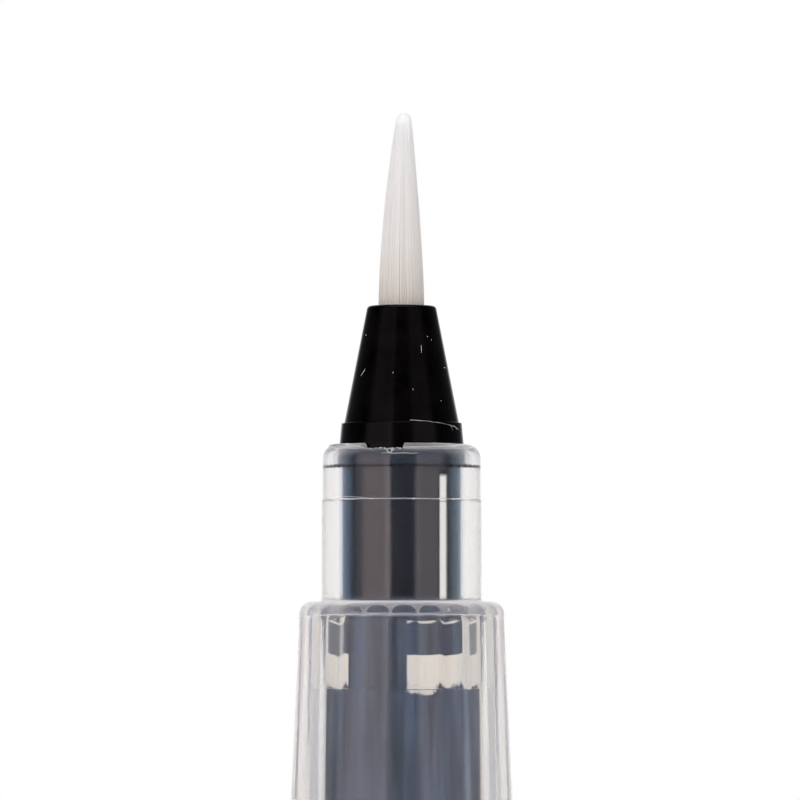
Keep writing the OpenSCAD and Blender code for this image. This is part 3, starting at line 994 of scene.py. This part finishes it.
def sleeve():
    """Clear sleeve round the sponge, with a foot flange."""
    inner, foot, foot_z = SPONGE_R + 0.03, SKIRT_BORE_R - 0.03, SLEEVE_Z1 + 0.9
    outline = rounded([
        (inner, SLEEVE_Z1, 0.04), (foot, SLEEVE_Z1, 0.06), (foot, foot_z, 0.1), (SLEEVE_R, foot_z, 0.06),
        (SLEEVE_R, SPONGE_Z2, 0.05), (inner, SPONGE_Z2, 0.03)])
    obj = make("sponge_sleeve_shell", lathe(outline, 192), FILM, 40)
    placed(obj, "head", "clear_sleeve", "sponge_sleeve")


# ---------------- tuft
def tuft_radius(h):
    """Radius of the bundle at a share of its height above the mouth."""
    down = (1 - h) * (TIP_Z - MOUTH_Z)
    if down < TIP_R:
        return math.sqrt(max(0.0, 1 - (1 - down / TIP_R) ** 2)) * TIP_R
    u = (down - TIP_R) / (TIP_Z - MOUTH_Z - TIP_R)
    return TIP_R + (TUFT_R - TIP_R) * (1 - (1 - u) ** 1.5)


def tuft_centre(h):
    """The bundle leans a little to the right near its tip."""
    return 0.15 * max(h, 0.0) ** 3, -0.03 * max(h, 0.0) ** 2


def filament(rho, angle, end, thick, rings=16):
    """One bristle: it keeps its place in the bundle as the bundle narrows."""
    path, radii = [], []
    for k in range(rings + 1):
        t = k / rings
        h = -0.08 + (end + 0.08) * (1 - (1 - t) ** 1.3)
        cx, cy = tuft_centre(h)
        r = rho * tuft_radius(max(h, 0.0))
        path.append((cx + r * math.cos(angle), cy + r * math.sin(angle), MOUTH_Z + h * (TIP_Z - MOUTH_Z)))
        narrow = 0.45 + 0.55 * tuft_radius(max(h, 0.0)) / TUFT_R
        close = math.sqrt(max(0.02, 1 - t ** 8))
        radii.append(thick * narrow * close)
    return tube(path, radii, 6)


def tuft_core():
    """The solid heart of the bundle, with the moulded bead at its root."""
    rows = 40
    height = (TIP_Z - MOUTH_Z) * 0.998
    shares = [math.sin(math.pi / 2 * k / rows) for k in range(rows)]
    outline = [(0, ROOT_Z1), (ROOT_R, ROOT_Z1), (ROOT_R, ROOT_Z2), (STEM_R, ROOT_Z2)]
    outline += [(tuft_radius(h) * 0.95 + 1e-4, MOUTH_Z + height * h) for h in shares]
    outline.append((0, MOUTH_Z + height))

    def ribbed(r, z, a):
        return r * (1 + 0.012 * math.sin(37 * a)), z

    verts, faces = lathe(outline, 96, ribbed)
    leaning = []
    for x, y, z in verts:
        cx, cy = tuft_centre((z - MOUTH_Z) / (TIP_Z - MOUTH_Z))
        leaning.append((x + cx, y + cy, z))
    return leaning, faces


# Rings of filaments: share of the bundle's radius, count, and the shares of its height where they end
RINGS = ((0.962, 96, (0.62, 0.945)), (0.94, 96, (0.8, 0.955)))

# Filaments that end early on the left: share of the height, and count
LEFT_ENDS = ((0.68, 6), (0.4, 7), (0.27, 7))


def tuft():
    """White tuft of separate filaments, which bends from the mouth."""
    rng = random.Random(8)
    parts, shades = [tuft_core()], [0.5]
    for rho, count, ends in RINGS:
        for k in range(count):
            angle = math.tau * (k + rng.uniform(-0.3, 0.3)) / count
            end = rng.uniform(*ends) if rng.random() > 0.25 else ends[1]
            parts.append(filament(rho, angle, end, rng.uniform(0.05, 0.058)))
            shades.append(rng.random())
    for end, count in LEFT_ENDS:
        for k in range(count):
            angle = math.pi + 0.16 * (k - (count - 1) / 2)
            parts.append(filament(0.985, angle, end - 0.012 * rng.random(), 0.055))
            shades.append(rng.random())
    obj = make("bristle_tuft_hair", joined(parts), NYLON, 75)
    attribute = obj.data.attributes.new("shade", "FLOAT", "POINT")
    values = [s for (v, f), s in zip(parts, shades) for _ in v]
    attribute.data.foreach_set("value", values)
    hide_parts("bristle_tuft")
    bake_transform(obj)


# ---------------- barrel, tail and cap
def pad_inset(z, a):
    """How far the squeeze pads sink below the barrel. Five bars stand in each."""
    flat = BARREL_R - PAD_DEPTH
    depth = BARREL_R - flat / max(abs(math.sin(a)), 0.5)
    x = BARREL_R * math.cos(a)
    straight = (PAD_LEN - PAD_W) / 2
    dz = max(0.0, abs(z - PAD_Z) - straight)
    inside = 1 - step_up((math.hypot(x, dz) - PAD_W / 2 + 0.25) / 0.5)
    bar = 0.0
    for k in range(-2, 3):
        over = abs(z - PAD_Z - 4 * k) / 0.55
        along = abs(x) / 2.3
        bar = max(bar, (1 - step_up((over - 0.7) / 0.6)) * (1 - step_up((along - 0.8) / 0.25)))
    return max(depth, 0.0) * inside * (1 - 0.9 * bar)


def barrel():
    """Squeeze reservoir with a threaded spigot above."""
    inner, inner_end = BARREL_R - BARREL_WALL, BARREL_END_R - BARREL_WALL
    rows = [PAD_Z - PAD_LEN / 2 - 1 + 0.22 * k for k in range(int((PAD_LEN + 2) / 0.22) + 1)]
    outline = rounded([
        (inner_end, BARREL_Z1, 0.08), (BARREL_END_R, BARREL_Z1, 0.15), (BARREL_R, TAPER_Z, 40),
        *[(BARREL_R, z) for z in rows], (BARREL_R, BARREL_Z2, 0.6), (SPIGOT_R, BARREL_Z2, 0.1),
        (SPIGOT_R, SPIGOT_Z, 0.15), (SPIGOT_BORE_R, SPIGOT_Z, 0.1), (SPIGOT_BORE_R, BARREL_Z2 - 0.4, 0.6),
        (inner, BARREL_Z2 - 2.4, 0.6), (inner, TAPER_Z, 40), (inner_end, BARREL_Z1 + 7, 8)], steps=8)

    def shape(r, z, a):
        if r > BARREL_R - 0.01 and rows[0] <= z <= rows[-1]:
            r -= pad_inset(z, a)
        return r, z

    tube_wall = lathe(outline, 288, shape)
    ridge = thread_ridge(SPIGOT_R, 5.75)
    obj = make("reservoir_barrel_shell", joined([tube_wall, ridge]), MILKY_BARREL, 45)
    placed(obj, "barrel", "milky_barrel", "reservoir_barrel")


def tail():
    """Plug in the barrel's lower end, with a groove for its seal ring and a post that the cap posts on."""
    plug, groove, bore = BARREL_END_R - BARREL_WALL - 0.03, 4.95, 3.9
    z1, groove_z1, groove_z2, z2 = [BARREL_Z1 + up for up in (-0.02, 2.4, 3.4, 6)]
    outline = rounded([
        (0, POST_Z), (POST_R, POST_Z, 0.4), (POST_R, POST_TOP_Z, 0.1), (BARREL_END_R, POST_TOP_Z, 0.2),
        (BARREL_END_R, z1, 0.08), (plug, z1), (plug, groove_z1, 0.05), (groove, groove_z1),
        (groove, groove_z2), (plug, groove_z2, 0.05), (plug, z2, 0.3), (bore, z2, 0.3),
        (bore, POST_Z + 1, 0.6), (0, POST_Z + 1)], steps=6)
    obj = make("tail_plug_body", lathe(outline, 192), MILKY_BARREL, 40)
    placed(obj, "barrel", "milky_tail", "tail_plug")


def cap():
    """Clear cap with three vent slots in its floor, and a slot in its side for the clip's arm."""
    outline = rounded([
        (0, 0), (CAP_END_R, 0, 0.5), (CAP_MOUTH_R, CAP_Z2, 0.22), (CAP_BORE_R, CAP_Z2, 0.3),
        (CAP_BORE_R, CAP_FLOOR, 0.4), (0, CAP_FLOOR)], steps=7)
    obj = make("cap_shell_body", lathe(outline, 224), CLEAR, 40)
    for k in range(3):
        a = math.radians(120 * k + 90)
        cos, sin = math.cos(a), math.sin(a)
        verts, faces = block((3.2, -1.1, -1), (4.0, 1.1, CAP_FLOOR + 0.6))
        cut(obj, ([(x * cos - y * sin, x * sin + y * cos, z) for x, y, z in verts], faces))
    cut(obj, block((-1.62, CAP_END_R - 0.7, 4.0), (1.62, CAP_END_R + 3, 6.64)))
    placed(obj, "cap", "clear_cap", "cap_shell")


def clip():
    """Clear tongue on a short arm, with a rounded bead on its inner side."""
    lo, hi = low("cap_clip"), high("cap_clip")
    y1 = CAP_MOUTH_R + 0.9
    tongue = make("cap_clip_tongue", block((lo.x, y1, lo.z), (hi.x, hi.y, hi.z)), CLEAR)
    cut(tongue, block((lo.x, lo.y, lo.z), (hi.x, y1 + 0.2, lo.z + 2.6)), "UNION")
    rows = 10
    turns = [math.pi * k / rows for k in range(rows + 1)]
    bead = [(0.62 * math.sin(turn), 0.2 * math.cos(turn)) for turn in turns]
    verts = []
    for x in (lo.x, hi.x):
        verts += [(x, y1 + 0.25 - r * 0.85, hi.z - 1.7 + 4 * c) for r, c in bead]
    faces = [[k, k + 1, rows + 2 + k, rows + 1 + k] for k in range(rows)]
    faces += [list(range(rows + 1)), [rows + 1 + k for k in range(rows + 1)]]
    faces.append([0, rows, 2 * rows + 1, rows + 1])
    cut(tongue, (verts, faces), "UNION")
    bevel(tongue, 0.22, 3, 35)
    keep_modified(tongue)
    placed(tongue, "cap", "clear_cap", "cap_clip")


def liner():
    """Inner cup of the cap: a thin wall with a flared mouth, held off the cap by upright ribs."""
    z1, z2 = low("cap_liner").z, high("cap_liner").z
    mouth, floor_z = CAP_BORE_R - 0.03, z1 + 0.8
    outline = rounded([
        (0, z1), (LINER_R, z1, 0.3), (LINER_R, z2 - 1.25, 0.2), (mouth, z2 - 1.0, 0.12), (mouth, z2, 0.15),
        (LINER_BORE_R, z2, 0.2), (LINER_BORE_R, floor_z, 0.4), (0, floor_z)], steps=5)
    pitch = math.tau / LINER_RIBS

    def shape(r, z, a):
        if abs(r - LINER_R) < 0.02 and z1 + 0.3 < z < z2 - 1.2:
            across = abs((a / pitch + 0.5) % 1 - 0.5) * pitch * LINER_R
            r += (mouth - LINER_R) * (1 - step_up((across - 0.28) / 0.14))
        return r, z

    obj = make("cap_liner_cup", lathe(outline, 288, shape), WHITE_PLASTIC, 45)
    placed(obj, "cap", "white_plastic", "cap_liner")


def carried_over():
    """CAD nodes whose shape is right get softened edges and a finish of their own."""
    looks = (("metering_disc", WHITE_PLASTIC), ("seal_gasket", RUBBER), ("tail_seal_ring", RUBBER))
    for name, material in looks:
        obj = frame["nodes"][name]
        obj.data.materials.clear()
        obj.data.materials.append(material)
        if name != "tail_seal_ring":
            bevel(obj, 0.06, 2, 40)


front_section()
flash()
nose()
scuffs()
feed_core()
stop_ring()
wick()
sponge()
sleeve()
tuft()
barrel()
tail()
cap()
clip()
liner()
carried_over()


# ---------------- stage, light and camera
def floor():
    material, tree = new_material("pale_floor")
    colour = ramp(tree, noise(tree, 40, 3), [(0.3, 0.86), (0.7, 0.9)])
    surface(tree, principled(tree, 1.5, colour, 0.8))
    disc = lathe(rounded([(0, -2), (350, -2, 1), (350, -0.02, 1), (0, -0.02)]), 128)
    obj = make("floor", disc, material)


# Colours of the surroundings at angles round the pen, in degrees: 0 is at the camera, 90 on the right
DARK, DUSK, HAZE = 0.01, (0.44, 0.62, 0.94), (0.6, 0.78, 1.0)
LEFT, LEFT_EDGE = (1.0, 0.84, 0.86), (1.5, 1.32, 1.34)
RIGHT, RIGHT_EDGE = (0.7, 0.62, 0.66), (0.9, 0.83, 0.87)
PANELS = (
    (-180, 1), (-128, 1), (-119, DUSK), (-100, DUSK), (-88, DARK), (-76, DARK),
    (-66, LEFT), (-26, LEFT), (-24, LEFT_EDGE), (-18.5, LEFT_EDGE), (-17, DARK),
    (21, DARK), (22.5, RIGHT_EDGE), (28, RIGHT_EDGE), (30, RIGHT), (62, RIGHT),
    (72, DARK), (80, DARK), (96, HAZE), (120, HAZE), (128, 1), (180, 1))


def world():
    """White studio: the surroundings look white, and shiny parts mirror soft panels with darker gaps."""
    studio = bpy.data.worlds.new("studio")
    bpy.context.scene.world = studio
    studio.use_nodes = True
    tree = studio.node_tree
    tree.nodes.clear()
    axes = axes_of(tree, "Generated")
    turn = reckon(tree, "ARCTAN2", axes["X"], reckon(tree, "MULTIPLY", axes["Y"], -1))
    away = reckon(tree, "ABSOLUTE", turn)

    def round_to(start, end):
        """How far round from the camera a direction is, between two angles."""
        return share(tree, away, math.radians(start), math.radians(end))

    # The panels, dimmer higher up in front, under a lamp overhead
    stops = [((angle + 180) / 360, colour) for angle, colour in PANELS]
    panels = ramp(tree, share(tree, turn, -math.pi, math.pi), stops)
    fade = ramp(tree, axes["Z"], [(0.08, 1), (0.4, 0.28), (0.7, 0.2), (0.85, 1.1)])
    sky = multiply(tree, panels, blend(tree, round_to(95, 120), fade, WHITE))
    room = blend(tree, share(tree, axes["Z"], 0.72, 0.9), sky, (1.2, 1.2, 1.2, 1))

    # Seen through the plastic: white behind the pen, well above and below it, and wherever the ray wasn't
    # mirrored on its way
    path = node(tree, "ShaderNodeLightPath", {}).outputs
    steep = share(tree, reckon(tree, "ABSOLUTE", axes["Z"]), 0.08, 0.2)
    direct = reckon(tree, "LESS_THAN", path["Glossy Depth"], 0.5)
    blank = reckon(tree, "MAXIMUM", reckon(tree, "MAXIMUM", round_to(118, 135), steep), direct)
    through = coloured(tree, "ShaderNodeBackground", blend(tree, blank, room, WHITE))

    # Mirrored by a surface: darker at the sides
    sides = ramp(tree, round_to(0, 180), [(0.38, 1), (0.44, 0.1), (0.82, 0.1), (0.93, 1)])
    mirrored = coloured(tree, "ShaderNodeBackground", multiply(tree, sides, room))

    soft = coloured(tree, "ShaderNodeBackground", (0.95, 0.95, 0.97, 1))
    shader = mixed(tree, path["Is Transmission Ray"], mirrored, through)
    shader = mixed(tree, path["Is Diffuse Ray"], shader, soft)
    shader = mixed(tree, path["Is Camera Ray"], shader, coloured(tree, "ShaderNodeBackground", WHITE))
    node(tree, "ShaderNodeOutputWorld", {"Surface": shader})


def point_at(obj, place, aim):
    obj.location = place
    obj.rotation_mode = "QUATERNION"
    obj.rotation_quaternion = (Vector(aim) - Vector(place)).to_track_quat("-Z", "Y")


def softbox(name, place, aim, size, power):
    """A rectangular lamp that mirrors and clear parts don't show."""
    light = bpy.data.lights.new(name, "AREA")
    light.shape = "RECTANGLE"
    light.size, light.size_y = size
    light.energy = power
    obj = new_object(name, light)
    point_at(obj, place, aim)
    obj.visible_glossy = False
    obj.visible_transmission = False


def camera():
    """A long lens level with the top of the grip, so the rings above it curve a little."""
    middle_z = TIP_Z - 17.45
    eye_z = SHOULDER_Z - 1.1
    half_frame = 24.24 * MM
    distance = 0.4
    data = bpy.data.cameras.new("camera")
    data.sensor_width = 36
    data.lens = data.sensor_width / 2 * distance / half_frame
    data.clip_start, data.clip_end = 0.01, 10
    obj = new_object("camera", data)
    aim = (-0.1 * MM, 0, middle_z * MM)
    rise = (middle_z - eye_z) * MM
    point_at(obj, (aim[0], -math.sqrt(distance ** 2 - rise ** 2), eye_z * MM), aim)
    bpy.context.scene.camera = obj


floor()
world()
softbox("key", (-0.35, -0.45, 0.5), (0, 0, 0.13), (0.3, 0.3), 2.0)
softbox("fill", (0.45, -0.35, 0.3), (0, 0, 0.12), (0.3, 0.4), 0.8)
camera()

scene = bpy.context.scene
scene.view_settings.view_transform = "Standard"
scene.cycles.use_denoising = True
scene.cycles.max_bounces = 24
scene.cycles.transmission_bounces = 24
scene.cycles.diffuse_bounces = 6
scene.cycles.glossy_bounces = 8
